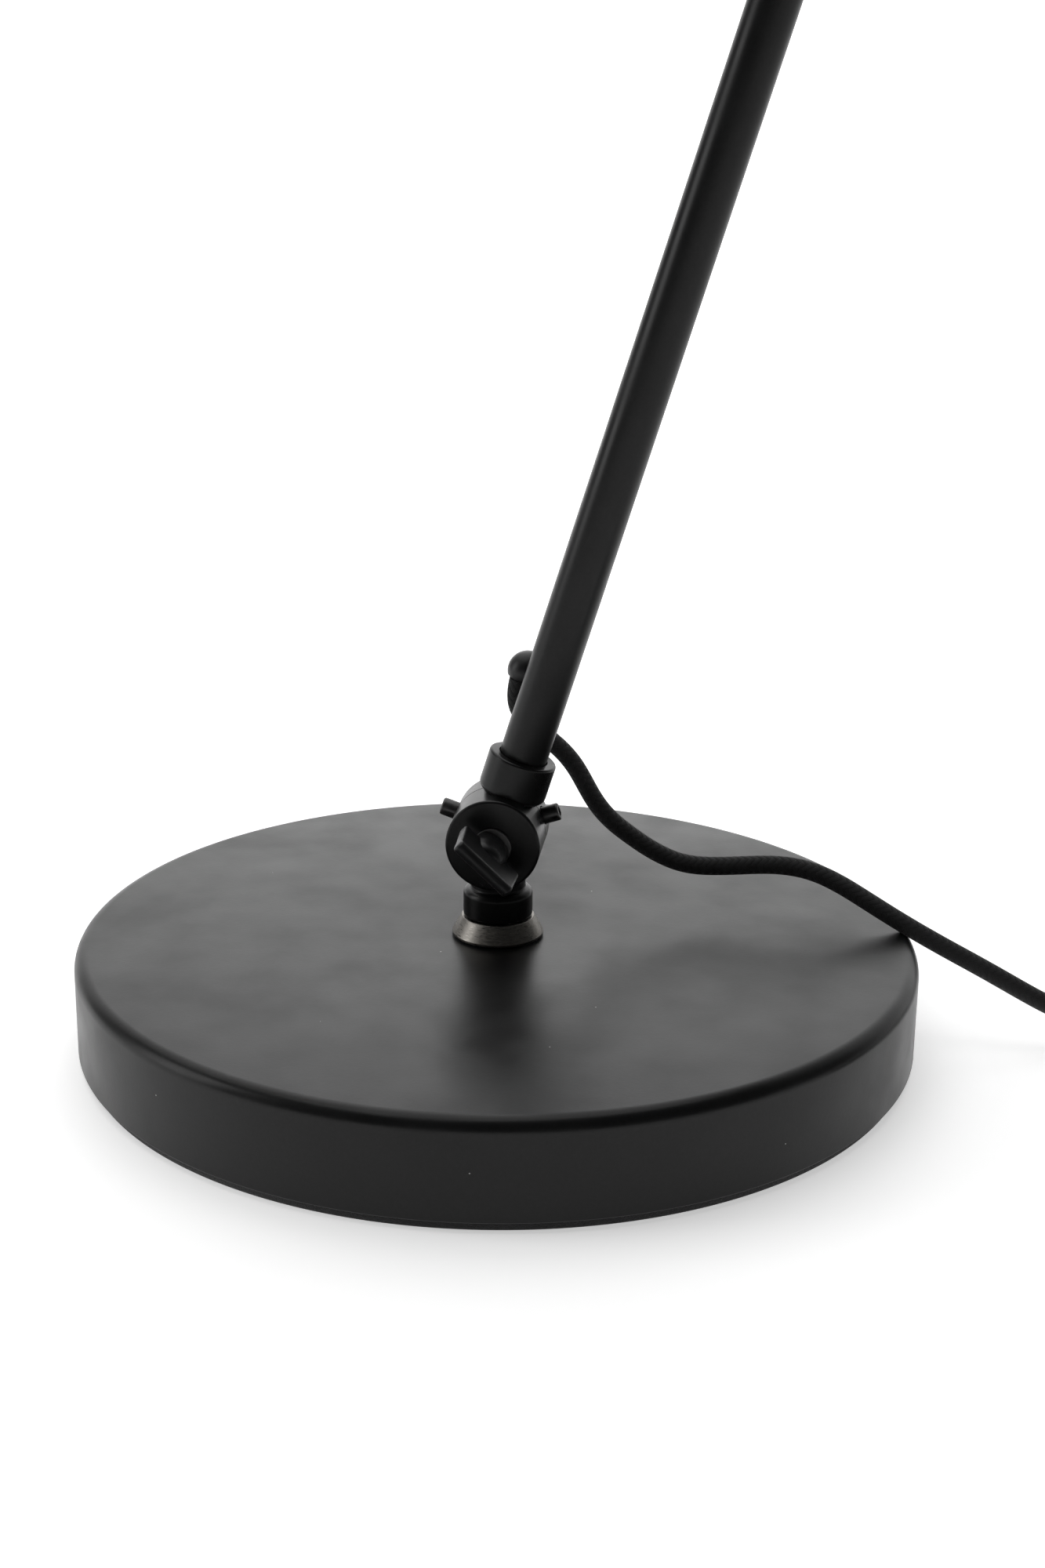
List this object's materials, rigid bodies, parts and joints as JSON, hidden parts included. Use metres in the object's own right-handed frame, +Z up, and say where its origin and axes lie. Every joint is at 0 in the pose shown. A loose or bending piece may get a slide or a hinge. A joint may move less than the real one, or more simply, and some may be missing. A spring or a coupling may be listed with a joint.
{
  "type": "desk lamp",
  "caption": "Architect desk lamp: weighted round base, swivelling two-arm steel-tube stand with friction knuckles and wing knobs, tilting metal shade and braided cord.",
  "frame": {"origin": "centre of the felt's underside, where the base stands", "axes": "+Z up; knuckle axes along Y with the wing knobs facing -Y; at rest the lower arm leans to +X and the upper arm reaches to -X"},
  "size_m": [0.6091, 0.23, 0.5516],
  "materials": {
    "satin_black_paint": "satin black powder coat, fine orange peel",
    "shade_black_paint": "satin black outside, warm white inside",
    "cast_iron": "rough cast",
    "grey_board": "pressed board",
    "black_felt": "dense wool felt",
    "black_oxide_steel": "black oxide",
    "blackened_brushed_steel": "turned and blackened, brushed round its axis",
    "black_textile": "braided textile cord cover",
    "black_plastic": "fine moulded",
    "nickel_plate": "nickel plate",
    "brass_contact": "plain",
    "opal_diffuser": "opal"
  },
  "bodies": {
    "base": {"base_cover": "satin_black_paint", "base_weight": "cast_iron", "base_board": "grey_board", "base_felt": "black_felt", "base_washer": "black_oxide_steel", "base_nut": "black_oxide_steel", "swivel_seat": "blackened_brushed_steel"},
    "swivel": {"lower_knuckle_rear": "satin_black_paint", "swivel_bolt": "black_oxide_steel", "lower_pivot_bolt": "black_oxide_steel", "stop_screw_left": "black_oxide_steel", "stop_screw_right": "black_oxide_steel", "cord_lead": "black_textile", "cord_tail": "black_textile", "cord_coil": "black_textile", "cord_tie": "black_plastic", "plug_body": "black_plastic", "plug_sleeve": "black_plastic", "plug_pin_left": "nickel_plate", "plug_pin_right": "nickel_plate"},
    "lower_arm": {"lower_knuckle_front": "satin_black_paint", "lower_knob_washer": "black_oxide_steel", "lower_arm_tube": "satin_black_paint", "lower_cord_cowl": "black_plastic", "elbow_cord_cowl_below": "black_plastic", "lower_arm_cord": "black_textile", "elbow_knuckle_rear": "satin_black_paint", "elbow_pivot_bolt": "black_oxide_steel"},
    "lower_knob": {"lower_wing_knob": "black_plastic"},
    "upper_arm": {"elbow_knuckle_front": "satin_black_paint", "elbow_knob_washer": "black_oxide_steel", "upper_arm_tube": "satin_black_paint", "elbow_cord_cowl_above": "black_plastic", "head_cord_cowl": "black_plastic", "upper_arm_cord": "black_textile", "elbow_cord_bridge": "black_textile", "head_knuckle_rear": "satin_black_paint", "head_pivot_bolt": "black_oxide_steel"},
    "elbow_knob": {"elbow_wing_knob": "black_plastic"},
    "head": {"head_knuckle_front": "satin_black_paint", "head_knob_washer": "black_oxide_steel", "head_cord_bridge": "black_textile", "shade": "shade_black_paint", "shade_nipple": "black_oxide_steel", "shade_nut": "black_oxide_steel", "shade_cord_gland": "black_plastic", "switch_body": "black_plastic", "lampholder": "black_plastic", "holder_contact": "brass_contact", "bulb_cap": "nickel_plate", "bulb_glass": "opal_diffuser"},
    "head_knob": {"head_wing_knob": "black_plastic"},
    "switch": {"switch_button": "black_plastic"}
  },
  "joints": [
    {"name": "base_swivel", "type": "hinge", "parent": "base", "child": "swivel", "pos_m": [0, 0, 0.03], "axis": [0, 0, 1], "range_deg": [-160, 160]},
    {"name": "lower_tilt", "type": "hinge", "parent": "swivel", "child": "lower_arm", "pos_m": [0, 0, 0.05896], "axis": [0, 1, 0], "range_deg": [-42, 8], "deforming": ["cord_lead"]},
    {"name": "lower_knob_turn", "type": "hinge", "parent": "lower_arm", "child": "lower_knob", "pos_m": [0, 0, 0.05896], "axis": [0, -1, 0], "continuous": true},
    {"name": "elbow_tilt", "type": "hinge", "parent": "lower_arm", "child": "upper_arm", "pos_m": [0.11015, 0, 0.42265], "axis": [0, 1, 0], "range_deg": [-5, 150], "deforming": ["elbow_cord_bridge"]},
    {"name": "elbow_knob_turn", "type": "hinge", "parent": "upper_arm", "child": "elbow_knob", "pos_m": [0.11015, 0, 0.42265], "axis": [0, -1, 0], "continuous": true},
    {"name": "head_tilt", "type": "hinge", "parent": "upper_arm", "child": "head", "pos_m": [-0.20935, 0, 0.53893], "axis": [0, 1, 0], "range_deg": [-3, 110], "deforming": ["head_cord_bridge"]},
    {"name": "head_knob_turn", "type": "hinge", "parent": "head", "child": "head_knob", "pos_m": [-0.20935, 0, 0.53893], "axis": [0, -1, 0], "continuous": true},
    {"name": "switch_press", "type": "slide", "parent": "head", "child": "switch", "axis": [-0.342, 0, -0.9397], "range_m": [0, 0.0025], "stiffness_N_per_m": 500, "springref_m": -0.001}
  ]
}
